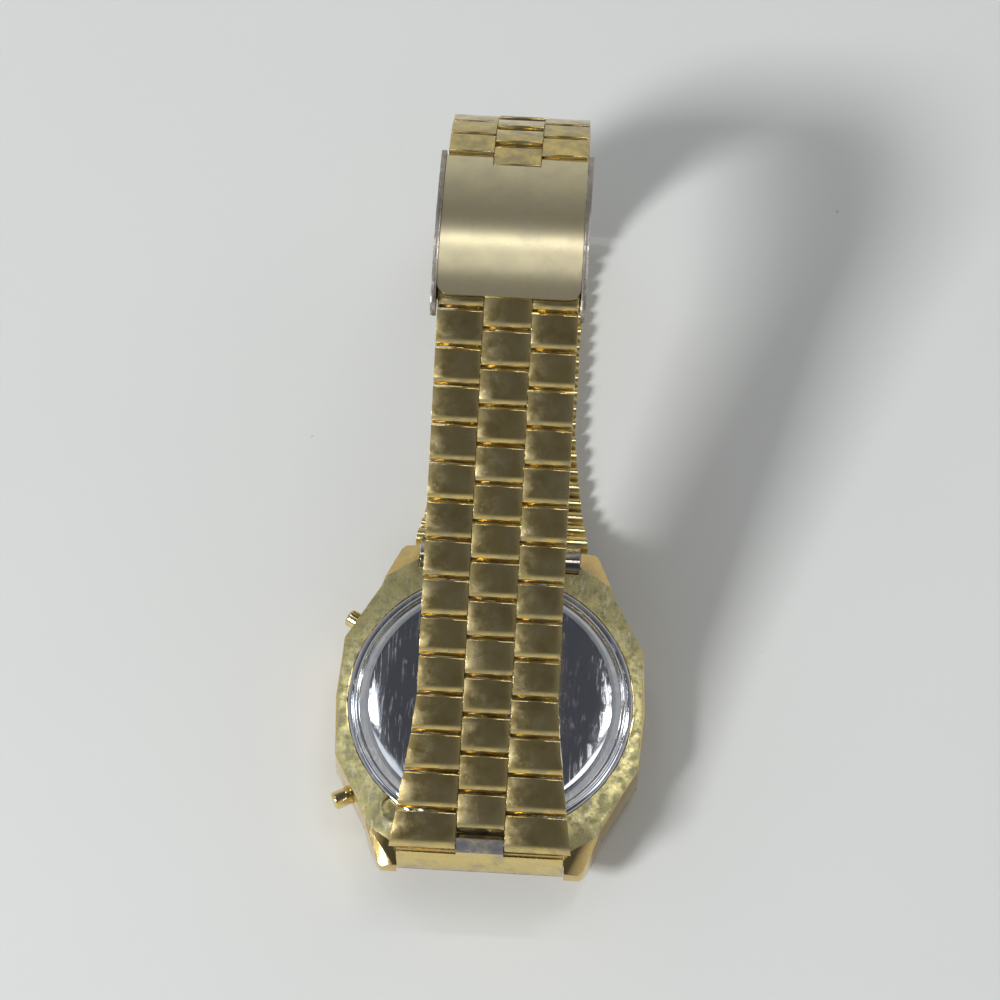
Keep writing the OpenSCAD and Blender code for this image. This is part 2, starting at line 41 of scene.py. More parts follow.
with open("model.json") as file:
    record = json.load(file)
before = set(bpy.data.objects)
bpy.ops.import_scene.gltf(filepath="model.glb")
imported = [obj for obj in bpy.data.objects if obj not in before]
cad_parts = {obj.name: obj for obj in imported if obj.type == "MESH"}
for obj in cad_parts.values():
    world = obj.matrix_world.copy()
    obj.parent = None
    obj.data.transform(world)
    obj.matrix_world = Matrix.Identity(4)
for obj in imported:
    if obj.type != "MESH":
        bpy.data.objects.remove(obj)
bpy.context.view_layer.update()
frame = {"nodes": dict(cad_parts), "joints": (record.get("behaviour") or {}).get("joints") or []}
RECORD_JOINTS = {j["name"]: j for j in frame["joints"]}
MM = 0.001
NEAR_ROWS = sum(1 for n in frame["nodes"] if n.startswith("near_row_"))
FAR_ROWS = sum(1 for n in frame["nodes"] if n.startswith("far_row_"))
TAIL_ROWS = 2

# Sizes that the part's source gives in millimetres
STRAP_HALF_W = 7.5
FIRST_HALF_W = 9.7
TAPER_ROWS = 4
ARC_R = 25.0
MID_R = 23.25
LIP_SLOPE = 19.0
LIP_AFTER = 0.2
COVER_TURN = 43.0
COVER_HALF_W = 7.65
NOTCH_HALF_W = 2.625
TONGUE_HALF_W = 2.6
NOTCH_R = math.hypot(0.95, 1.0) + 0.1
BACK_R = 15.6
CASE_T = 7.9
BACK_Z = 8.6
FACET_LOW = (16.5, 7)
FACET_HIGH = (13, 13.4)
PUSHER_DIR = math.atan2(FACET_LOW[0] - FACET_HIGH[0], FACET_HIGH[1] - FACET_LOW[1])
PUSHER_AT = (-(FACET_LOW[0] + FACET_HIGH[0]) / 2, (FACET_LOW[1] + FACET_HIGH[1]) / 2, 4.0)
LINK_PITCH = 4.1
HINGE_R = 1.0
COVER_CORNER = 1.25
COVER_SHEET = 0.5
DIGIT_W = 2.1
DIGIT_H = 4.4
DIGIT_STROKE = 0.42
INK = 0.012
MASK_LINE_W = 0.16


# Settings

class WatchSizes(bpy.types.PropertyGroup):
    pitch: bpy.props.FloatProperty(
        name="Row pitch", description="Length from one row of links to the next",
        default=LINK_PITCH * MM, min=0.003, max=0.006, unit="LENGTH", precision=5)
    thickness: bpy.props.FloatProperty(
        name="Link thickness", description="Thickness of a folded link",
        default=2.0 * MM, min=0.0015, max=0.003, unit="LENGTH", precision=5)
    sheet: bpy.props.FloatProperty(
        name="Sheet thickness", description="Thickness of the sheet a link is folded from",
        default=0.45 * MM, min=0.0002, max=0.0006, unit="LENGTH", precision=5)
    middle_w: bpy.props.FloatProperty(
        name="Middle link width", description="Width of the links in the middle column",
        default=5.05 * MM, min=0.003, max=0.007, unit="LENGTH", precision=5)
    pin_r: bpy.props.FloatProperty(
        name="Pin radius", description="Radius of a link pin",
        default=0.42 * MM, min=0.0003, max=0.0005, unit="LENGTH", precision=5)
    edge: bpy.props.FloatProperty(
        name="Link edge", description="Rounding of the free edge of a link",
        default=0.17 * MM, min=0.00005, max=0.0003, unit="LENGTH", precision=5)
    play: bpy.props.FloatProperty(
        name="Link play", description="How far a link may stand askew on its pin",
        default=math.radians(1.0), min=0, max=math.radians(2), subtype="ANGLE")


class WatchColours(bpy.types.PropertyGroup):
    gold: bpy.props.FloatVectorProperty(
        name="Gold plate", description="Colour of the plated links and case",
        default=(0.80, 0.62, 0.24), size=3, min=0, max=1, subtype="COLOR")
    film: bpy.props.FloatVectorProperty(
        name="Worn film", description="Colour of the dull film that wear leaves on the gold",
        default=(0.40, 0.36, 0.24), size=3, min=0, max=1, subtype="COLOR")
    steel: bpy.props.FloatVectorProperty(
        name="Back steel", description="Colour of the stamped steel back",
        default=(0.58, 0.58, 0.60), size=3, min=0, max=1, subtype="COLOR")
    floor: bpy.props.FloatVectorProperty(
        name="Floor", description="Colour of the pale table",
        default=(0.66, 0.67, 0.66), size=3, min=0, max=1, subtype="COLOR")


# Node helpers

def socket(sockets, key):
    if isinstance(key, int):
        return sockets[key]
    return next(s for s in sockets if s.name == key and s.enabled)


def put(tree, kind, inputs=None, **props):
    """Adds a node to a tree: props are its properties, inputs its values or links by name or place."""
    node = tree.nodes.new(kind)
    for key, value in props.items():
        setattr(node, key, value)
    for key, value in (inputs or {}).items():
        s = socket(node.inputs, key)
        if isinstance(value, bpy.types.NodeSocket):
            tree.links.new(value, s)
        elif isinstance(value, (list, tuple)) and isinstance(value[0], bpy.types.NodeSocket):
            for one in value:
                tree.links.new(one, s)
        else:
            s.default_value = value
    return node


def maths(tree, operation, a, b=0.0, clamp=False):
    return put(tree, "ShaderNodeMath", {0: a, 1: b}, operation=operation, use_clamp=clamp).outputs[0]


def blend_colour(tree, factor, a, b, how="MIX"):
    rgb = [v if isinstance(v, bpy.types.NodeSocket) else (*v, 1.0) for v in (a, b)]
    return put(tree, "ShaderNodeMix", {"Factor": factor, "A": rgb[0], "B": rgb[1]},
               data_type="RGBA", blend_type=how).outputs[2]


def band(tree, value, low, high, to_low=0.0, to_high=1.0):
    """Maps low..high to to_low..to_high, clamped."""
    return put(tree, "ShaderNodeMapRange", {"Value": value, "From Min": low, "From Max": high,
                                            "To Min": to_low, "To Max": to_high}).outputs[0]


def noise(tree, place, scale, detail=3.0, rough=0.5, stretch=None, turn=(0, 0, 0)):
    if stretch:
        place = put(tree, "ShaderNodeMapping", {"Vector": place, "Rotation": turn,
                                                "Scale": stretch}).outputs[0]
    return put(tree, "ShaderNodeTexNoise", {"Vector": place, "Scale": scale, "Detail": detail,
                                            "Roughness": rough}).outputs[0]


def millimetres(tree, attribute=None):
    """Place on the piece in millimetres: Object coordinates, or an attribute shifted by the link's tint."""
    if attribute:
        at = put(tree, "ShaderNodeAttribute", attribute_name=attribute)
        tint = put(tree, "ShaderNodeAttribute", attribute_name="tint")
        shift = put(tree, "ShaderNodeCombineXYZ", {0: tint.outputs["Fac"], 1: tint.outputs["Fac"],
                                                   2: tint.outputs["Fac"]}).outputs[0]
        big = put(tree, "ShaderNodeVectorMath", {0: at.outputs["Vector"], 3: 1000.0},
                  operation="SCALE").outputs[0]
        far = put(tree, "ShaderNodeVectorMath", {0: shift, 3: 70.0}, operation="SCALE").outputs[0]
        return put(tree, "ShaderNodeVectorMath", {0: big, 1: far}, operation="ADD").outputs[0]
    place = put(tree, "ShaderNodeTexCoord").outputs["Object"]
    return put(tree, "ShaderNodeVectorMath", {0: place, 3: 1000.0}, operation="SCALE").outputs[0]


def scratches(tree, place, count, width, scale, seed=0.0):
    """Fine, nearly straight scratches in several directions, 0 to 1."""
    total = None
    for i in range(count):
        turn = (0, 0, seed + i * math.pi / count * 1.07)
        lines = noise(tree, place, 1.0, 1.0, 0.4, (scale, scale * 0.05, scale), turn)
        off = maths(tree, "ABSOLUTE", maths(tree, "SUBTRACT", lines, 0.5))
        line = band(tree, off, 0.4 * width, width, 1.0, 0.0)
        worn = band(tree, noise(tree, place, 0.45, 2.0, 0.6, (1, 1, 1), (0.3 * i, 0.7, i)), 0.52, 0.62)
        line = maths(tree, "MULTIPLY", line, worn)
        total = line if total is None else maths(tree, "MAXIMUM", total, line)
    return total


# Materials

def start_material(name):
    m = bpy.data.materials.new(name)
    m.use_nodes = True
    t = m.node_tree
    t.nodes.clear()
    shader = put(t, "ShaderNodeBsdfPrincipled")
    put(t, "ShaderNodeOutputMaterial", {0: shader.outputs[0]})
    return m, t, shader


def worn_metal(name, colour, film, rough=(0.1, 0.3), smudge=(0.45, 0.7), smudge_scale=0.35, brush=None,
               brush_depth=0.02, speck=0.0, scuff=0.0, attribute=None, dust=0.0, tint=0.0, tone=0.0,
               wave=0.03, grain_tone=0.35, sideways=0.0):
    """Plated or bare metal with smudges, a brushed or polished grain, dark specks and fine scratches.

    sideways spreads the gloss along X, as brushing along the cover does.
    """
    m, t, shader = start_material(name)
    place = millimetres(t, attribute)
    smudges = noise(t, place, smudge_scale, 5.0, 0.62)
    filmed = band(t, smudges, smudge[0], smudge[1])
    colour_now = blend_colour(t, filmed, colour, film)
    roughness = band(t, smudges, smudge[0], smudge[1], rough[0], rough[1])
    height = maths(t, "MULTIPLY", noise(t, place, 0.8, 2.0, 0.5), wave)
    if tone:
        slow = noise(t, place, 0.18, 2.0, 0.5, (1, 1, 1), (0.4, 0.2, 0.9))
        colour_now = blend_colour(t, maths(t, "MULTIPLY", band(t, slow, 0.4, 0.65), tone),
                                  colour_now, (0.62, 0.40, 0.22))
    if brush:
        grain = noise(t, place, 1.0, 3.0, 0.6, brush)
        roughness = maths(t, "ADD", roughness, band(t, grain, 0.35, 0.7, -0.1 * grain_tone, 0.2 * grain_tone))
        colour_now = blend_colour(t, band(t, grain, 0.3, 0.75, 0.0, grain_tone), colour_now, film)
        height = maths(t, "ADD", height, maths(t, "MULTIPLY", grain, brush_depth))
    if speck:
        specks = noise(t, place, 3.1, 4.0, 0.75)
        dark = maths(t, "MULTIPLY", band(t, specks, 0.56, 0.66), speck)
        colour_now = blend_colour(t, dark, colour_now, (0.09, 0.08, 0.05))
        roughness = maths(t, "ADD", roughness, maths(t, "MULTIPLY", dark, 0.25))
        height = maths(t, "SUBTRACT", height, maths(t, "MULTIPLY", dark, 0.02))
    if scuff:
        lines = maths(t, "MULTIPLY", scratches(t, place, 5, 0.022, 1.1), scuff)
        colour_now = blend_colour(t, lines, colour_now, (0.86, 0.86, 0.84))
        roughness = maths(t, "ADD", roughness, maths(t, "MULTIPLY", lines, 0.35))
        height = maths(t, "ADD", height, maths(t, "MULTIPLY", lines, 0.008))
    if tint:
        own = put(t, "ShaderNodeAttribute", attribute_name="tint").outputs["Fac"]
        colour_now = blend_colour(t, maths(t, "MULTIPLY", own, tint), colour_now, film)
    if sideways:
        across = put(t, "ShaderNodeVectorTransform", {0: (1, 0, 0)}, vector_type="VECTOR",
                     convert_from="OBJECT", convert_to="WORLD").outputs[0]
        t.links.new(across, shader.inputs["Tangent"])
        shader.inputs["Anisotropic"].default_value = sideways
    t.links.new(colour_now, shader.inputs["Base Color"])
    t.links.new(maths(t, "MAXIMUM", roughness, 0.03), shader.inputs["Roughness"])
    if dust:
        t.links.new(band(t, smudges, 0.3, 0.75, 1.0, 1.0 - dust), shader.inputs["Metallic"])
    else:
        shader.inputs["Metallic"].default_value = 1.0
    bump = put(t, "ShaderNodeBump", {"Height": height, "Strength": 0.3, "Distance": 0.0001})
    t.links.new(bump.outputs[0], shader.inputs["Normal"])
    return m


def moulded(name, colour, rough=0.45, fleck=(0.02, 0.02, 0.02), grain=6.0):
    """Moulded plastic, rubber or printed film with a fine grain and slight tone changes."""
    m, t, shader = start_material(name)
    place = millimetres(t)
    slow = noise(t, place, 0.3, 3.0, 0.5)
    fine = noise(t, place, grain, 3.0, 0.6)
    c = blend_colour(t, band(t, slow, 0.35, 0.7, 0.0, 0.25), colour, fleck)
    c = blend_colour(t, band(t, fine, 0.5, 0.75, 0.0, 0.3), c, fleck)
    t.links.new(c, shader.inputs["Base Color"])
    t.links.new(band(t, fine, 0.3, 0.7, rough - 0.08, rough + 0.1), shader.inputs["Roughness"])
    bump = put(t, "ShaderNodeBump", {"Height": fine, "Strength": 0.2, "Distance": 0.00004})
    t.links.new(bump.outputs[0], shader.inputs["Normal"])
    return m


def clear_crystal(name):
    m, t, shader = start_material(name)
    place = millimetres(t)
    smear = noise(t, place, 0.5, 4.0, 0.6)
    lines = scratches(t, place, 4, 0.02, 1.1, 0.4)
    t.links.new(band(t, smear, 0.4, 0.7, 0.02, 0.06), shader.inputs["Roughness"])
    t.links.new(blend_colour(t, lines, (0.97, 0.98, 0.98), (0.8, 0.82, 0.82)), shader.inputs["Base Color"])
    shader.inputs["Transmission Weight"].default_value = 1.0
    shader.inputs["IOR"].default_value = 1.49
    bump = put(t, "ShaderNodeBump", {"Height": lines, "Strength": 0.15, "Distance": 0.00002})
    t.links.new(bump.outputs[0], shader.inputs["Normal"])
    return m


def make_materials():
    c = bpy.context.scene.watch_colours
    gold, film, steel = tuple(c.gold), tuple(c.film), tuple(c.steel)
    made = {
        "link_gold": worn_metal("link_gold", gold, (0.46, 0.38, 0.20), (0.09, 0.22), (0.40, 0.64), 0.5,
                                speck=0.3, attribute="link_place", dust=0.08, tint=0.3),
        # middle tongue of the end pieces: a dull grey-brown gold, a painted dark reflection standing in for
        # the dark surroundings it mirrors
        "tongue_gold": worn_metal("tongue_gold", (0.44, 0.39, 0.31), (0.20, 0.20, 0.21), (0.06, 0.16),
                                  (0.35, 0.6), 0.7, speck=0.4, dust=0.05),
        "end_gold": worn_metal("end_gold", gold, film, (0.20, 0.30), (0.5, 0.75), 0.4, (0.6, 8.0, 8.0), 0.03,
                               speck=0.15, scuff=0.2, dust=0.06, grain_tone=0.2),
        "case_gold": worn_metal("case_gold", (0.78, 0.58, 0.21), film, (0.05, 0.16), (0.5, 0.8), 0.3, None,
                                speck=0.15, scuff=0.15, tone=0.35),
        "ring_gold": worn_metal("ring_gold", (0.66, 0.58, 0.27), (0.36, 0.33, 0.17), (0.30, 0.44),
                                (0.42, 0.62), 0.9, (0.7, 0.7, 0.7), 0.06, speck=0.5, scuff=0.3, dust=0.12),
        "cover_gold": worn_metal("cover_gold", (0.80, 0.70, 0.44), (0.66, 0.58, 0.38), (0.30, 0.32),
                                 (0.4, 0.7), 0.3, (7.0, 0.15, 0.15), 0.006, speck=0.06, dust=0.05,
                                 grain_tone=0.1, sideways=0.85),
        "clasp_steel": worn_metal("clasp_steel", (0.58, 0.52, 0.44), (0.34, 0.30, 0.27), (0.2, 0.4),
                                  (0.35, 0.65), 0.8, (2.0, 0.3, 0.3), 0.05, speck=0.5, scuff=0.4, dust=0.10),
        "back_steel": worn_metal("back_steel", steel, (0.42, 0.45, 0.52), (0.06, 0.12), (0.45, 0.7), 0.25,
                                 None, speck=0.05, scuff=0.3, wave=0.0),
        "pusher_gold": worn_metal("pusher_gold", (0.85, 0.68, 0.30), film, (0.05, 0.14), (0.5, 0.8), 0.6),
        "steel": worn_metal("steel", (0.62, 0.61, 0.58), (0.4, 0.39, 0.36), (0.15, 0.3), (0.4, 0.7), 0.6,
                            (6.0, 0.6, 0.6), 0.04),
        "contact_brass": worn_metal("contact_brass", (0.8, 0.58, 0.25), film, (0.15, 0.3), (0.4, 0.7), 0.8),
        "gasket": moulded("gasket", (0.035, 0.035, 0.036), 0.55),
        "elastomer": moulded("elastomer", (0.55, 0.36, 0.34), 0.5, (0.35, 0.2, 0.2)),
        "module_plastic": moulded("module_plastic", (0.05, 0.052, 0.055), 0.4),
        "board": moulded("board", (0.03, 0.14, 0.05), 0.35, (0.01, 0.06, 0.02), 3.0),
        "lcd": moulded("lcd", (0.42, 0.45, 0.36), 0.12, (0.34, 0.37, 0.29), 9.0),
        "mask_print": moulded("mask_print", (0.012, 0.013, 0.016), 0.25, (0.03, 0.03, 0.04)),
        "print_gold": moulded("print_gold", (0.62, 0.47, 0.16), 0.35, (0.4, 0.3, 0.1)),
        "digit_dark": moulded("digit_dark", (0.02, 0.025, 0.03), 0.3, (0.05, 0.06, 0.06)),
        "crystal": clear_crystal("crystal"),
    }
    return made


def finish_of(name):
    """A finish by name, made once for all pieces."""
    found = bpy.data.materials.get(name)
    if found is None or not found.get("watch_finish"):
        for key, m in make_materials().items():
            m["watch_finish"] = key
    return next(m for m in bpy.data.materials if m.get("watch_finish") == name)


# Mesh helpers

def add_piece(name, mesh, finish, body, slot, *nodes):
    obj = bpy.data.objects.new(name, mesh)
    bpy.context.scene.collection.objects.link(obj)
    if finish:
        mesh.materials.clear()
        for one in ([finish] if isinstance(finish, str) else finish):
            mesh.materials.append(finish_of(one))
    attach(obj, body)
    if nodes:
        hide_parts(*nodes)
    return obj


def smooth(mesh, angle=38):
    for p in mesh.polygons:
        p.use_smooth = True
    mesh.set_sharp_from_angle(angle=math.radians(angle))


def merged_copy(node):
    """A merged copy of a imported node's mesh, with its flat faces made whole."""
    mesh = frame["nodes"][node].data.copy()
    bm = bmesh.new()
    bm.from_mesh(mesh)
    bmesh.ops.remove_doubles(bm, verts=bm.verts, dist=1.5e-6)
    bmesh.ops.dissolve_limit(bm, angle_limit=math.radians(0.4), verts=bm.verts, edges=bm.edges)
    bm.to_mesh(mesh)
    bm.free()
    if "custom_normal" in mesh.attributes:
        mesh.attributes.remove(mesh.attributes["custom_normal"])
    return mesh


def baked(obj):
    """The evaluated mesh of an object; the object itself is removed."""
    graph = bpy.context.evaluated_depsgraph_get()
    mesh = bpy.data.meshes.new_from_object(obj.evaluated_get(graph), preserve_all_data_layers=True,
                                           depsgraph=graph)
    bpy.data.objects.remove(obj)
    return mesh


def broken_edges(mesh, width, segments=2, angle=32):
    """The mesh with its sharp edges broken by a small round."""
    obj = bpy.data.objects.new("edging", mesh)
    bpy.context.scene.collection.objects.link(obj)
    mod = obj.modifiers.new("edges", "BEVEL")
    mod.width, mod.segments, mod.limit_method = width * MM, segments, "ANGLE"
    mod.angle_limit, mod.use_clamp_overlap = math.radians(angle), True
    mod.miter_outer = "MITER_ARC"
    return baked(obj)


def lathed(profile, steps=160, matrix=None):
    """Turns a profile of (radius, height) points in millimetres, from the axis out, about the Z axis."""
    bm = bmesh.new()
    rings = []
    for r, z in profile:
        if r < 1e-6:
            rings.append([bm.verts.new((0, 0, z * MM))])
        else:
            rings.append([bm.verts.new((r * MM * math.cos(a), r * MM * math.sin(a), z * MM))
                          for a in (2 * math.pi * i / steps for i in range(steps))])
    for a, b in zip(rings, rings[1:]):
        for i in range(steps):
            j = (i + 1) % steps
            if len(a) == 1 and len(b) == 1:
                continue
            if len(a) == 1:
                bm.faces.new((a[0], b[i], b[j]))
            elif len(b) == 1:
                bm.faces.new((a[i], b[0], a[j]))
            else:
                bm.faces.new((a[i], b[i], b[j], a[j]))
    bmesh.ops.recalc_face_normals(bm, faces=bm.faces)
    if matrix:
        bmesh.ops.transform(bm, matrix=matrix, verts=bm.verts)
    mesh = bpy.data.meshes.new("turned")
    bm.to_mesh(mesh)
    bm.free()
    return mesh


def rounded(points, radius=0.1, steps=3):
    """Rounds the inner corners of an open line of (radius, height) points."""
    out = [points[0]]
    for a, b, c in zip(points, points[1:], points[2:]):
        a, b, c = Vector(a), Vector(b), Vector(c)
        r = min(radius, (a - b).length * 0.45, (c - b).length * 0.45)
        p, q = b + (a - b).normalized() * r, b + (c - b).normalized() * r
        for i in range(steps + 1):
            t = i / steps
            out.append(tuple((1 - t) ** 2 * p + 2 * t * (1 - t) * b + t * t * q))
    out.append(points[-1])
    return out


def loop_frame(place, slope, far=False):
    """Matrix of a place in the bracelet: X along the strap, Y outwards, Z across."""
    c, s = math.cos(slope), math.sin(slope)
    sign = -1 if far else 1
    m = Matrix.Identity(4)
    m.col[0][:3] = (0, c, s)
    m.col[1][:3] = (0, -s * sign, c * sign)
    m.col[2][:3] = (sign, 0, 0)
    m.col[3][:3] = (0, place[0], place[1])
    return m


def ray(angle):
    return Vector((math.cos(angle), math.sin(angle)))


def pivots(names):
    return [Vector(RECORD_JOINTS[n]["pos_m"][1:]) for n in names]


def near_line():
    return pivots([f"near_hinge_{i:02d}" for i in range(1, NEAR_ROWS + 1)] + ["clasp_hinge"])


def far_line():
    return pivots([f"far_hinge_{i:02d}" for i in range(1, FAR_ROWS + 1)] + ["clasp_cover_open"])


def strap_slope():
    return math.radians(LIP_SLOPE) + LIP_AFTER / MID_R


def arc_centre():
    s = strap_slope()
    return near_line()[-1] - MID_R * MM * Vector((-math.sin(s), math.cos(s)))


def arc_at(radius, slope):
    return arc_centre() + radius * MM * Vector((-math.sin(slope), math.cos(slope)))


# Bracelet links

def folded_link_tree():
    """One folded link, one metre wide: the barrel, the plate and the eye, with both pin holes."""
    t = bpy.data.node_groups.new("folded_link", "GeometryNodeTree")
    for name, value in (("Pitch", 0.0041), ("Thickness", 0.002), ("Sheet", 0.00045), ("Row gap", 0.0001),
                        ("Edge", 0.00017), ("Hole radius", 0.00046)):
        s = t.interface.new_socket(name=name, in_out="INPUT", socket_type="NodeSocketFloat")
        s.default_value = value
    t.interface.new_socket(name="Link", in_out="OUTPUT", socket_type="NodeSocketGeometry")
    size = put(t, "NodeGroupInput").outputs
    barrel = maths(t, "MULTIPLY", size["Thickness"], 0.5)
    under = maths(t, "SUBTRACT", barrel, size["Sheet"])
    eye = maths(t, "SUBTRACT", barrel, 0.0002)
    half = maths(t, "MULTIPLY", size["Pitch"], 0.5)
    end = maths(t, "SUBTRACT", maths(t, "SUBTRACT", size["Pitch"], barrel), size["Row gap"])
    barrel_turn = maths(t, "ARCSINE", maths(t, "DIVIDE", under, barrel))
    eye_turn = maths(t, "ARCSINE", maths(t, "DIVIDE", under, eye))

    def arc(steps, radius, start, sweep, x, y, order):
        a = put(t, "GeometryNodeCurveArc", {"Resolution": steps, "Radius": radius, "Start Angle": start,
                                            "Sweep Angle": sweep}, mode="RADIUS").outputs[0]
        at = put(t, "ShaderNodeCombineXYZ", {0: x, 1: y}).outputs[0]
        a = put(t, "GeometryNodeTransform", {"Geometry": a, "Translation": at}).outputs[0]
        a = put(t, "GeometryNodeCurveToPoints", {"Curve": a}, mode="EVALUATED").outputs[0]
        rank = maths(t, "ADD", put(t, "GeometryNodeInputIndex").outputs[0], 1000.0 * order)
        return put(t, "GeometryNodeStoreNamedAttribute", {"Geometry": a, "Name": "rank", "Value": rank},
                   data_type="FLOAT", domain="POINT").outputs[0]

    barrel_arc = arc(30, barrel, math.pi / 2, maths(t, "ADD", barrel_turn, 1.5 * math.pi), 0.0, 0.0, 0)
    eye_arc = arc(22, eye, maths(t, "SUBTRACT", math.pi, eye_turn),
                  maths(t, "ADD", maths(t, "MULTIPLY", eye_turn, 2.0), math.pi), half, 0.0, 1)
    corner = arc(2, 0.00001, -math.pi / 2, math.pi / 2, maths(t, "SUBTRACT", end, 0.00001),
                 maths(t, "ADD", under, 0.00001), 2)
    lip = arc(6, size["Edge"], 0.0, math.pi / 2, maths(t, "SUBTRACT", end, size["Edge"]),
              maths(t, "SUBTRACT", barrel, size["Edge"]), 3)
    points = put(t, "GeometryNodeJoinGeometry", {0: [barrel_arc, eye_arc, corner, lip]}).outputs[0]
    rank = put(t, "GeometryNodeInputNamedAttribute", {"Name": "rank"}, data_type="FLOAT").outputs[0]
    outline = put(t, "GeometryNodePointsToCurves", {"Points": points, "Weight": rank}).outputs[0]
    outline = put(t, "GeometryNodeSetSplineCyclic", {"Geometry": outline, "Cyclic": True}).outputs[0]
    hole = put(t, "GeometryNodeCurvePrimitiveCircle", {"Resolution": 20, "Radius": size["Hole radius"]},
               mode="RADIUS").outputs[0]
    second = put(t, "GeometryNodeTransform", {
        "Geometry": hole, "Translation": put(t, "ShaderNodeCombineXYZ", {0: half}).outputs[0]}).outputs[0]
    outline = put(t, "GeometryNodeJoinGeometry", {0: [outline, hole, second]}).outputs[0]
    face = put(t, "GeometryNodeFillCurve", {"Curve": outline}, mode="NGONS").outputs[0]
    face = put(t, "GeometryNodeRemoveAttribute", {"Geometry": face, "Name": "rank"}).outputs[0]
    wall = put(t, "GeometryNodeExtrudeMesh", {"Mesh": face, "Offset": (0, 0, 1), "Offset Scale": 1.0,
                                              "Individual": False}, mode="FACES").outputs[0]
    base = put(t, "GeometryNodeFlipFaces", {"Mesh": face}).outputs[0]
    solid = put(t, "GeometryNodeJoinGeometry", {0: [wall, base]}).outputs[0]
    solid = put(t, "GeometryNodeMergeByDistance", {"Geometry": solid, "Distance": 1e-6}).outputs[0]
    put(t, "NodeGroupOutput", {0: solid})
    return t


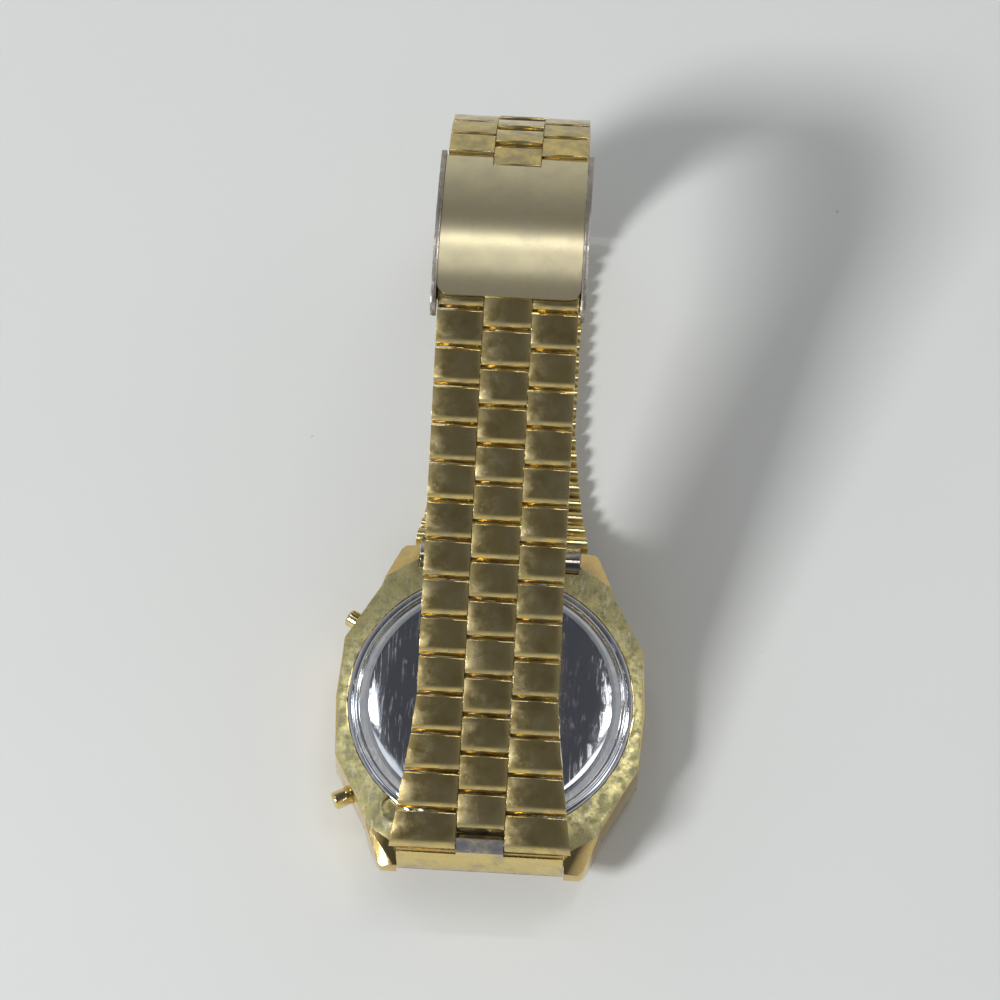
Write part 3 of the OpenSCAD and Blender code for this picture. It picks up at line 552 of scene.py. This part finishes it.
def link_row_tree(one_link):
    """A row of the bracelet: two outer links, the middle link half a pitch on, and its two pins."""
    t = bpy.data.node_groups.new("row_of_folded_links", "GeometryNodeTree")
    sizes = bpy.context.scene.watch_sizes
    for name, value in (("Pitch", sizes.pitch), ("Thickness", sizes.thickness), ("Sheet", sizes.sheet),
                        ("Edge", sizes.edge), ("Pin radius", sizes.pin_r), ("Middle width", sizes.middle_w),
                        ("Half width before", 0.0075), ("Half width after", 0.0075), ("Play", sizes.play)):
        s = t.interface.new_socket(name=name, in_out="INPUT", socket_type="NodeSocketFloat")
        s.default_value = value
    t.interface.new_socket(name="Seed", in_out="INPUT", socket_type="NodeSocketInt")
    t.interface.new_socket(name="Last", in_out="INPUT", socket_type="NodeSocketBool")
    t.interface.new_socket(name="Finish", in_out="INPUT", socket_type="NodeSocketMaterial")
    t.interface.new_socket(name="Row", in_out="OUTPUT", socket_type="NodeSocketGeometry")
    size = put(t, "NodeGroupInput").outputs
    half = maths(t, "MULTIPLY", size["Pitch"], 0.5)
    barrel = maths(t, "MULTIPLY", size["Thickness"], 0.5)
    middle = maths(t, "MULTIPLY", size["Middle width"], 0.5)
    inner = maths(t, "ADD", middle, 0.0001)
    hole = maths(t, "ADD", size["Pin radius"], 0.00004)
    link = put(t, "GeometryNodeGroup", node_tree=one_link)
    for name in ("Pitch", "Thickness", "Sheet", "Edge"):
        t.links.new(size[name], link.inputs[name])
    t.links.new(hole, link.inputs["Hole radius"])
    slope = maths(t, "DIVIDE", maths(t, "SUBTRACT", size["Half width after"], size["Half width before"]),
                  size["Pitch"])

    def chance(low, high, number):
        one = put(t, "FunctionNodeInputInt", integer=number).outputs[0]
        return put(t, "FunctionNodeRandomValue", {"Min": low, "Max": high, "ID": one, "Seed": size["Seed"]},
                   data_type="FLOAT").outputs[1]

    def askew(geometry, number):
        tilt, roll = chance(-1.0, 1.0, number), chance(-0.4, 0.4, number + 7)
        tint = chance(0.0, 1.0, number + 17)
        place = put(t, "GeometryNodeInputPosition").outputs[0]
        g = put(t, "GeometryNodeStoreNamedAttribute", {"Geometry": geometry, "Name": "link_place",
                                                       "Value": place},
                data_type="FLOAT_VECTOR", domain="POINT").outputs[0]
        g = put(t, "GeometryNodeStoreNamedAttribute", {"Geometry": g, "Name": "tint", "Value": tint},
                data_type="FLOAT", domain="POINT").outputs[0]
        turn = put(t, "ShaderNodeCombineXYZ", {0: maths(t, "MULTIPLY", roll, size["Play"]), 1: 0.0,
                                               2: maths(t, "MULTIPLY", tilt, size["Play"])}).outputs[0]
        return put(t, "GeometryNodeTransform", {"Geometry": g, "Rotation": turn}).outputs[0]

    def spread(sign):
        """Gives an outer link its width, which follows the taper of the strap."""
        p = put(t, "ShaderNodeSeparateXYZ", {0: put(t, "GeometryNodeInputPosition").outputs[0]}).outputs
        edge = maths(t, "ADD", size["Half width before"],
                     maths(t, "MULTIPLY", slope, maths(t, "ADD", p[0], barrel)))
        wide = maths(t, "SUBTRACT", edge, inner)
        from_inner = p[2] if sign > 0 else maths(t, "SUBTRACT", 1.0, p[2])
        across = maths(t, "ADD", inner, maths(t, "MULTIPLY", from_inner, wide))
        across = maths(t, "MULTIPLY", across, float(sign))
        place = put(t, "ShaderNodeCombineXYZ", {0: p[0], 1: p[1], 2: across}).outputs[0]
        return put(t, "GeometryNodeSetPosition", {"Geometry": link.outputs[0], "Position": place}).outputs[0]

    left = askew(spread(1), 1)
    right = askew(spread(-1), 2)
    p = put(t, "ShaderNodeSeparateXYZ", {0: put(t, "GeometryNodeInputPosition").outputs[0]}).outputs
    across = maths(t, "MULTIPLY", maths(t, "SUBTRACT", p[2], 0.5), size["Middle width"])
    place = put(t, "ShaderNodeCombineXYZ", {0: p[0], 1: p[1], 2: across}).outputs[0]
    centre = put(t, "GeometryNodeSetPosition", {"Geometry": link.outputs[0], "Position": place}).outputs[0]
    centre = askew(centre, 3)
    centre = put(t, "GeometryNodeTransform", {
        "Geometry": centre, "Translation": put(t, "ShaderNodeCombineXYZ", {0: half}).outputs[0]}).outputs[0]

    pin_l = maths(t, "MULTIPLY", maths(t, "SUBTRACT", size["Half width after"], 0.0002), 2.0)
    pin = put(t, "GeometryNodeMeshCylinder", {"Vertices": 20, "Radius": size["Pin radius"],
                                              "Depth": pin_l}, fill_type="NGON").outputs[0]
    line = put(t, "GeometryNodeMeshLine", {
        "Count": 2, "Offset": put(t, "ShaderNodeCombineXYZ", {0: half}).outputs[0]}, mode="OFFSET").outputs[0]
    pins = put(t, "GeometryNodeInstanceOnPoints", {"Points": line, "Instance": pin}).outputs[0]
    short_pin = put(t, "GeometryNodeMeshCylinder", {
        "Vertices": 20, "Radius": size["Pin radius"], "Depth": size["Middle width"]},
        fill_type="NGON").outputs[0]
    short_pin = put(t, "GeometryNodeTransform", {"Geometry": short_pin, "Translation": put(
        t, "ShaderNodeCombineXYZ", {0: size["Pitch"]}).outputs[0]}).outputs[0]
    short_pin = put(t, "GeometryNodeSwitch", {"Switch": size["Last"], "True": short_pin},
                    input_type="GEOMETRY").outputs[0]
    row = put(t, "GeometryNodeJoinGeometry", {0: [left, right, centre, pins, short_pin]}).outputs[0]
    row = put(t, "GeometryNodeRealizeInstances", {0: row}).outputs[0]
    row = put(t, "GeometryNodeSetMaterial", {"Geometry": row, "Material": size["Finish"]}).outputs[0]
    put(t, "NodeGroupOutput", {0: row})
    return t


def half_width(row):
    extra = (FIRST_HALF_W - STRAP_HALF_W) * max(0.0, 1 - row / TAPER_ROWS) ** 1.2
    return (STRAP_HALF_W + extra) * MM


def link_row(tree, name, row, matrix, seed, last=False):
    """Bakes one row of links from the tree, in place."""
    host = bpy.data.objects.new(name, bpy.data.meshes.new(name))
    bpy.context.scene.collection.objects.link(host)
    nodes = host.modifiers.new("links", "NODES")
    nodes.node_group = tree
    values = {"Half width before": half_width(row - 1), "Half width after": half_width(row),
              "Seed": seed, "Last": last, "Finish": finish_of("link_gold")}
    for item in tree.interface.items_tree:
        if item.in_out == "INPUT" and item.name in values:
            nodes[item.identifier] = values[item.name]
    edges = host.modifiers.new("edges", "BEVEL")
    edges.width, edges.segments, edges.limit_method = 0.06 * MM, 2, "ANGLE"
    edges.angle_limit, edges.use_clamp_overlap = math.radians(40), True
    mesh = baked(host)
    mesh.name = name
    mesh.transform(matrix)
    smooth(mesh, 34)
    return mesh


def joined(meshes, name):
    """One mesh from several, with their attributes."""
    bm = bmesh.new()
    for m in meshes:
        bm.from_mesh(m)
    out = meshes[0].copy()
    out.name = name
    bm.to_mesh(out)
    bm.free()
    return out


class WATCH_OT_links(bpy.types.Operator):
    """Makes the rows of folded links of both halves and of the strap end"""
    bl_idname = "watch.links"
    bl_label = "Folded links"

    def execute(self, context):
        tree = link_row_tree(folded_link_tree())
        near, far = near_line(), far_line()
        for i in range(NEAR_ROWS):
            d = near[i + 1] - near[i]
            m = loop_frame(near[i], math.atan2(d.y, d.x))
            mesh = link_row(tree, f"near_links_{i + 1:02d}", i + 1, m, 11 + i)
            add_piece(mesh.name, mesh, None, f"near_link_{i + 1:02d}", "link_gold", f"near_row_{i + 1:02d}")
        for i in range(FAR_ROWS):
            d = far[i + 1] - far[i]
            m = loop_frame(far[i], math.atan2(d.y, d.x), True)
            mesh = link_row(tree, f"far_links_{i + 1:02d}", i + 1, m, 71 + i, i + 1 == FAR_ROWS)
            add_piece(mesh.name, mesh, None, f"far_link_{i + 1:02d}", "link_gold", f"far_row_{i + 1:02d}")
        tail = []
        step = 2 * math.asin(0.5 * LINK_PITCH / MID_R)
        for i in range(TAIL_ROWS):
            s = strap_slope() - i * step
            m = loop_frame(arc_at(MID_R, s), s - step / 2)
            tail.append(link_row(tree, f"tail_{i}", NEAR_ROWS + i + 1, m, 131 + i))
        add_piece("strap_end_links", joined(tail, "strap_end_links"), None, "clasp", "link_gold",
                  "near_strap_end")
        return {"FINISHED"}


# End pieces and spring bars

class WATCH_OT_end_pieces(bpy.types.Operator):
    """Makes the two end pieces between the lugs, with broken edges"""
    bl_idname = "watch.end_pieces"
    bl_label = "End pieces"

    def execute(self, context):
        for side, body in (("near", "near_end"), ("far", "far_end")):
            mesh = broken_edges(merged_copy(f"{side}_end_piece"), 0.12, 3)
            smooth(mesh)
            block = add_piece(f"{side}_end_block", mesh, ["end_gold", "tongue_gold"], body, "end_gold",
                              f"{side}_end_piece")
            # faces of the middle tongue take the darker finish, a painted dark reflection
            for p in block.data.polygons:
                inward = abs(p.center.y) < abs(pivots([f"{side}_hinge_01"])[0].x) + 1.3 * MM
                p.material_index = int(abs(p.center.x) < TONGUE_HALF_W * MM and inward)
        return {"FINISHED"}


# Clasp

def cover_mesh():
    """Curved cover with two rounded free corners, a notch for the middle link and a rolled hinge end."""
    hinge_r = ARC_R - HINGE_R
    seam = math.radians(LIP_SLOPE - COVER_TURN)
    hinge_slope = seam + HINGE_R / hinge_r
    lip = math.radians(LIP_SLOPE)
    hinge = arc_at(hinge_r, hinge_slope)
    stations = []
    corner = COVER_CORNER
    length = (lip - hinge_slope) * ARC_R
    marks = [corner * (1 - math.cos(a * math.pi / 2 / 8)) for a in range(8)]
    marks += [corner + (length - corner) * i / 90 for i in range(91)]
    for s in marks:
        inset = corner - math.sqrt(max(0.0, corner ** 2 - (corner - s) ** 2)) if s < corner else 0.0
        stations.append((arc_at(ARC_R, lip - s / ARC_R), COVER_HALF_W - inset))
    top = math.pi / 2 + hinge_slope
    for i in range(1, 25):
        a = top - math.radians(260) * i / 24
        stations.append((hinge + MM * ray(a), COVER_HALF_W))
    bm = bmesh.new()
    rows = []
    for at, half_w in stations:
        rows.append([bm.verts.new((x * MM, at.x, at.y))
                     for x in (-half_w, -half_w + 0.4, -NOTCH_HALF_W, NOTCH_HALF_W, half_w - 0.4, half_w)])
    for a, b in zip(rows, rows[1:]):
        for k in range(5):
            bm.faces.new((a[k], a[k + 1], b[k + 1], b[k]))
    bmesh.ops.recalc_face_normals(bm, faces=bm.faces)
    probe = max(bm.faces, key=lambda f: f.calc_center_median().z)
    if probe.normal.z < 0:
        bmesh.ops.reverse_faces(bm, faces=bm.faces)
    mesh = bpy.data.meshes.new("clasp_cover")
    bm.to_mesh(mesh)
    bm.free()
    obj = bpy.data.objects.new("cover_sheet", mesh)
    bpy.context.scene.collection.objects.link(obj)
    thick = obj.modifiers.new("sheet", "SOLIDIFY")
    thick.thickness, thick.offset = COVER_SHEET * MM, -1
    across = Matrix.Translation((0, hinge.x, hinge.y)) @ Matrix.Rotation(math.pi / 2, 4, "Y")
    round_cut = lathed([(0, -NOTCH_HALF_W), (NOTCH_R, -NOTCH_HALF_W), (NOTCH_R, NOTCH_HALF_W),
                        (0, NOTCH_HALF_W)], 72, across)
    cutter = bpy.data.objects.new("notch", round_cut)
    bpy.context.scene.collection.objects.link(cutter)
    notch = obj.modifiers.new("notch", "BOOLEAN")
    notch.operation, notch.solver, notch.object = "DIFFERENCE", "EXACT", cutter
    edge = obj.modifiers.new("edge", "BEVEL")
    edge.width, edge.segments, edge.limit_method = 0.08 * MM, 3, "ANGLE"
    edge.angle_limit = math.radians(50)
    sheet = baked(obj)
    bpy.data.objects.remove(cutter)
    return sheet


class WATCH_OT_clasp(bpy.types.Operator):
    """Makes the clasp: brushed cover, worn channel, locking slider"""
    bl_idname = "watch.clasp"
    bl_label = "Clasp"

    def execute(self, context):
        cover = cover_mesh()
        smooth(cover)
        add_piece("brushed_cover", cover, "cover_gold", "cover", "cover_gold", "clasp_cover")
        channel = broken_edges(merged_copy("clasp_channel"), 0.1, 2)
        smooth(channel)
        add_piece("clasp_walls", channel, "clasp_steel", "clasp", "clasp_steel", "clasp_channel")
        slider = broken_edges(merged_copy("clasp_slider"), 0.08, 2)
        smooth(slider)
        add_piece("locking_slider", slider, "clasp_steel", "clasp", "clasp_steel", "clasp_slider")
        return {"FINISHED"}


# Case, back and pushers

class WATCH_OT_case(bpy.types.Operator):
    """Makes the gold case with its worn ring and polished facets"""
    bl_idname = "watch.case"
    bl_label = "Case"

    def execute(self, context):
        mesh = broken_edges(merged_copy("case_body"), 0.1, 2, 25)
        smooth(mesh, 30)
        case = add_piece("gold_case", mesh, ["case_gold", "ring_gold"], "case", "case_gold", "case_body")
        for p in case.data.polygons:
            p.material_index = 0
            n, c = p.normal, p.center
            if n.z > 0.95 and c.z > 6.4 * MM and math.hypot(c.x, c.y) > 15.4 * MM:
                p.material_index = 1
        return {"FINISHED"}


def back_profile():
    dome = [(0, BACK_Z), (6, BACK_Z - 0.004), (11, BACK_Z - 0.02), (12.8, BACK_Z - 0.05)]
    edge = [(13.3, BACK_Z - 0.11), (13.75, BACK_Z - 0.24), (14.05, BACK_Z - 0.38), (14.22, BACK_Z - 0.50),
            (14.32, BACK_Z - 0.58), (14.42, BACK_Z - 0.58), (14.50, BACK_Z - 0.47), (14.62, BACK_Z - 0.43),
            (14.76, BACK_Z - 0.45), (14.86, BACK_Z - 0.56), (14.98, BACK_Z - 0.585), (15.1, BACK_Z - 0.57),
            (15.45, CASE_T + 0.05), (15.58, CASE_T - 0.03), (BACK_R, CASE_T - 0.1)]
    inside = [(BACK_R, 7.25), (14.85, 7.25), (14.85, 6.0), (14.35, 6.0), (14.35, BACK_Z - 1.08),
              (13.2, BACK_Z - 0.5), (0, BACK_Z - 0.5)]
    return dome + rounded([dome[-1]] + edge, 0.06)[1:] + rounded([edge[-1]] + inside, 0.05)[1:]


class WATCH_OT_back(bpy.types.Operator):
    """Makes the polished, scratched snap-in back with its double groove"""
    bl_idname = "watch.back"
    bl_label = "Snap-in back"

    def execute(self, context):
        mesh = lathed(back_profile(), 200)
        smooth(mesh, 40)
        add_piece("domed_back", mesh, "back_steel", "case", "back_steel", "caseback")
        return {"FINISHED"}


class WATCH_OT_pushers(bpy.types.Operator):
    """Makes the two polished pushers with their stems and clips"""
    bl_idname = "watch.pushers"
    bl_label = "Pushers"

    def execute(self, context):
        cap = rounded([(0, 2.0), (0.62, 1.99), (0.9, 1.92), (1.0, 1.74), (1.0, -0.9), (0.6, -0.9),
                       (0.6, -4.7), (0.96, -4.72), (0.96, -4.97), (0.6, -4.99), (0.6, -5.2), (0, -5.2)],
                      0.06)
        for side, name in ((1, "upper"), (-1, "lower")):
            at = Matrix.Translation(Vector((PUSHER_AT[0], side * PUSHER_AT[1], PUSHER_AT[2])) * MM)
            turn = Matrix.Rotation(math.pi - side * PUSHER_DIR, 4, "Z") @ Matrix.Rotation(math.pi / 2, 4, "Y")
            mesh = lathed(cap, 48, at @ turn)
            smooth(mesh)
            add_piece(f"round_pusher_{name}", mesh, "pusher_gold", f"pusher_{name}", "pusher_gold",
                      f"pusher_{name}")
        return {"FINISHED"}


# Front and movement

SEGMENTS = {"a": (0, 1, 1), "b": (1, 0.5, 0), "c": (1, -0.5, 0), "d": (0, -1, 1), "e": (-1, -0.5, 0),
            "f": (-1, 0.5, 0), "g": (0, 0, 1)}
DIGIT_PARTS = {"0": "abcdef", "1": "bc", "2": "abged", "3": "abgcd", "4": "fgbc", "5": "afgcd", "6": "afgedc",
               "7": "abc", "8": "abcdefg", "9": "abfgcd"}


def bar(bm, x, y, w, h, z, depth):
    """A flat six-sided segment."""
    if w > h:
        pts = [(-w / 2, 0), (-w / 2 + h / 2, -h / 2), (w / 2 - h / 2, -h / 2), (w / 2, 0),
               (w / 2 - h / 2, h / 2), (-w / 2 + h / 2, h / 2)]
    else:
        pts = [(0, -h / 2), (w / 2, -h / 2 + w / 2), (w / 2, h / 2 - w / 2), (0, h / 2),
               (-w / 2, h / 2 - w / 2), (-w / 2, -h / 2 + w / 2)]
    low = [bm.verts.new(((x + a) * MM, (y + b) * MM, z * MM)) for a, b in pts]
    high = [bm.verts.new(((x + a) * MM, (y + b) * MM, (z + depth) * MM)) for a, b in pts]
    bm.faces.new(reversed(low))
    bm.faces.new(high)
    for i in range(6):
        j = (i + 1) % 6
        bm.faces.new((low[i], low[j], high[j], high[i]))


class WATCH_OT_front(bpy.types.Operator):
    """Makes the crystal, the printed mask and the digits of the display"""
    bl_idname = "watch.front"
    bl_label = "Crystal and display"

    def execute(self, context):
        mesh = broken_edges(merged_copy("crystal"), 0.22, 3)
        smooth(mesh)
        add_piece("cut_crystal", mesh, "crystal", "case", "crystal", "crystal")
        face_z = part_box("lcd_glass")[0].z / MM
        bm = bmesh.new()
        # Seen from the front the watch is turned over, so the digits run towards -X
        x = 6.6
        for text, size in (("10", 1.0), (":", 1.0), ("24", 1.0), (" ", 0.5), ("36", 0.66)):
            for ch in text:
                w, h, t = DIGIT_W * size, DIGIT_H * size, DIGIT_STROKE * size
                if ch == ":":
                    for y in (0.9, -0.9):
                        bar(bm, x - 0.1, y, 0.5, 0.51, face_z - INK, INK)
                    x -= 1.0
                    continue
                if ch == " ":
                    x -= 0.7
                    continue
                cx, cy = x - w / 2, -(DIGIT_H - h) / 2
                for part in DIGIT_PARTS[ch]:
                    sx, sy, flat = SEGMENTS[part]
                    if flat:
                        bar(bm, cx, cy + sy * h / 2, w * 0.86, t, face_z - INK, INK)
                    else:
                        bar(bm, cx - sx * w / 2, cy + sy * h / 2, t, h * 0.44, face_z - INK, INK)
                x -= w + 0.75 * size
        digits = bpy.data.meshes.new("digits")
        bmesh.ops.recalc_face_normals(bm, faces=bm.faces)
        bm.to_mesh(digits)
        bm.free()
        add_piece("display_digits", digits, "digit_dark", "case", "lcd")
        bm = bmesh.new()
        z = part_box("dial_mask")[0].z / MM - INK
        for w, h in ((21.6, 11.2), (22.8, 12.4)):
            for s in (-1, 1):
                bar(bm, 0, s * h / 2, w, MASK_LINE_W, z, INK)
                bar(bm, s * w / 2, 0, MASK_LINE_W, h, z, INK)
        lines = bpy.data.meshes.new("mask_lines")
        bmesh.ops.recalc_face_normals(bm, faces=bm.faces)
        bm.to_mesh(lines)
        bm.free()
        add_piece("mask_lines", lines, "print_gold", "case", "mask_print")
        return {"FINISHED"}


CARRIED_OVER = {
    "caseback_gasket": "gasket", "crystal_gasket": "gasket", "dial_mask": "mask_print", "lcd_glass": "lcd",
    "contact_strips": "elastomer", "module_housing": "module_plastic", "circuit_board": "board",
    "battery": "steel", "battery_clip": "contact_brass", "buzzer_spring": "contact_brass",
    "pusher_springs": "steel", "near_spring_bar": "steel", "far_spring_bar": "steel",
    "clasp_hinge_pin": "steel",
}


class WATCH_OT_inside(bpy.types.Operator):
    """Gives the nodes that stay as they are in the model their own finish"""
    bl_idname = "watch.inside"
    bl_label = "Movement and small parts"

    def execute(self, context):
        for node, finish in CARRIED_OVER.items():
            obj = frame["nodes"][node]
            obj.data.materials.clear()
            obj.data.materials.append(finish_of(finish))
        return {"FINISHED"}


# Stage

def area_lamp(name, direction, distance, size, power, colour=(1, 1, 1), target=(0, 0.02, 0.01)):
    """A rectangle of light that faces its target, with its first side level along X."""
    lamp = bpy.data.lights.new(name, "AREA")
    lamp.shape, lamp.size, lamp.size_y = "RECTANGLE", size[0], size[1]
    lamp.energy, lamp.color = power, colour
    obj = bpy.data.objects.new(name, lamp)
    bpy.context.scene.collection.objects.link(obj)
    away = Vector(direction).normalized()
    along = (Vector((1, 0, 0)) - away * away.x).normalized()
    obj.location = Vector(target) + away * distance
    obj.rotation_euler = Matrix((along, away.cross(along), away)).transposed().to_euler()
    return obj


def sky(world, floor_colour):
    """Pale to the camera; for gloss and light it is bright low down and to the sides, dim overhead."""
    world.use_nodes = True
    t = world.node_tree
    t.nodes.clear()
    way = put(t, "ShaderNodeTexCoord").outputs["Generated"]
    x, _, z = put(t, "ShaderNodeSeparateXYZ", {0: way}).outputs
    middle = band(t, maths(t, "ABSOLUTE", x), 0.3, 0.6, 1.0, 0.0)
    up = maths(t, "MULTIPLY", band(t, z, 0.3, 0.8), middle)
    light = blend_colour(t, up, (0.57, 0.58, 0.58), (0.085, 0.088, 0.10))
    ray_kind = put(t, "ShaderNodeLightPath").outputs
    shown = blend_colour(t, ray_kind["Is Camera Ray"], light, tuple(floor_colour))
    back = put(t, "ShaderNodeBackground", {"Color": shown, "Strength": 1.0})
    put(t, "ShaderNodeOutputWorld", {0: back.outputs[0]})


class WATCH_OT_stage(bpy.types.Operator):
    """Makes the pale floor, the soft lights and the camera"""
    bl_idname = "watch.stage"
    bl_label = "Stage"

    def execute(self, context):
        scene = context.scene
        colour = tuple(scene.watch_colours.floor)
        scene.view_settings.view_transform = "Standard"
        m, t, shader = start_material("pale_table")
        place = millimetres(t)
        slow = noise(t, place, 0.012, 3.0, 0.5)
        c = blend_colour(t, band(t, slow, 0.3, 0.7, 0.0, 1.0), colour, tuple(v * 0.97 for v in colour))
        dust = band(t, noise(t, place, 0.55, 2.0, 0.4), 0.79, 0.81)
        c = blend_colour(t, maths(t, "MULTIPLY", dust, 0.5), c, (0.35, 0.33, 0.3))
        t.links.new(c, shader.inputs["Base Color"])
        shader.inputs["Roughness"].default_value = 0.55
        shader.inputs["Specular IOR Level"].default_value = 0.25
        bm = bmesh.new()
        bmesh.ops.create_grid(bm, x_segments=1, y_segments=1, size=3.0)
        mesh = bpy.data.meshes.new("table_top")
        bm.to_mesh(mesh)
        bm.free()
        mesh.materials.append(m)
        table = bpy.data.objects.new("table_top", mesh)
        scene.collection.objects.link(table)
        scene.world = scene.world or bpy.data.worlds.new("studio")
        sky(scene.world, colour)
        area_lamp("key_left", (-0.593, -0.490, 0.645), 1.2, (0.24, 0.24), 12.0)
        area_lamp("strip_right", (0.26, 0.385, 0.93), 3.0, (0.75, 0.09), 4.5)
        area_lamp("strip_left", (-0.30, 0.385, 0.93), 3.0, (0.75, 0.09), 3.5, (0.90, 0.95, 1.0))
        area_lamp("panel_right", (0.25, 0.20, 0.95), 1.2, (0.30, 0.24), 0.57)
        area_lamp("panel_left", (-0.27, 0.20, 0.94), 1.2, (0.30, 0.24), 0.27, (0.86, 0.93, 1.0))

        azimuth, elevation, distance = math.radians(3.4), math.radians(63), 0.4354
        back = Vector((math.sin(azimuth) * math.cos(elevation), -math.cos(azimuth) * math.cos(elevation),
                       math.sin(elevation)))
        camera = bpy.data.objects.new("camera", bpy.data.cameras.new("camera"))
        scene.collection.objects.link(camera)
        camera.data.lens, camera.data.sensor_width = 136.8, 36.0
        camera.data.clip_start = 0.01
        aim = Vector((-0.65, 28.81, 0)) * MM
        camera.location = aim + back * distance
        camera.rotation_mode = "QUATERNION"
        camera.rotation_quaternion = (-back).to_track_quat("-Z", "Y")
        scene.camera = camera
        return {"FINISHED"}


class WATCH_PT_panel(bpy.types.Panel):
    """Lists the pieces of the watch"""
    bl_idname = "WATCH_PT_panel"
    bl_label = "Watch"
    bl_space_type = "VIEW_3D"
    bl_region_type = "UI"
    bl_category = "Watch"

    def draw(self, context):
        for group in (context.scene.watch_sizes, context.scene.watch_colours):
            for name in group.__annotations__:
                self.layout.prop(group, name)
        for one in OPERATORS:
            self.layout.operator(one.bl_idname)


OPERATORS = (WATCH_OT_stage, WATCH_OT_links, WATCH_OT_end_pieces, WATCH_OT_clasp, WATCH_OT_case,
             WATCH_OT_back, WATCH_OT_pushers, WATCH_OT_front, WATCH_OT_inside)
CLASSES = (WatchSizes, WatchColours, *OPERATORS, WATCH_PT_panel)


def register():
    for one in CLASSES:
        bpy.utils.register_class(one)
    bpy.types.Scene.watch_sizes = bpy.props.PointerProperty(type=WatchSizes)
    bpy.types.Scene.watch_colours = bpy.props.PointerProperty(type=WatchColours)


def unregister():
    del bpy.types.Scene.watch_colours
    del bpy.types.Scene.watch_sizes
    for one in reversed(CLASSES):
        bpy.utils.unregister_class(one)


def main():
    register()
    for one in OPERATORS:
        group, name = one.bl_idname.split(".")
        getattr(getattr(bpy.ops, group), name)()


if __name__ == "__main__":
    main()
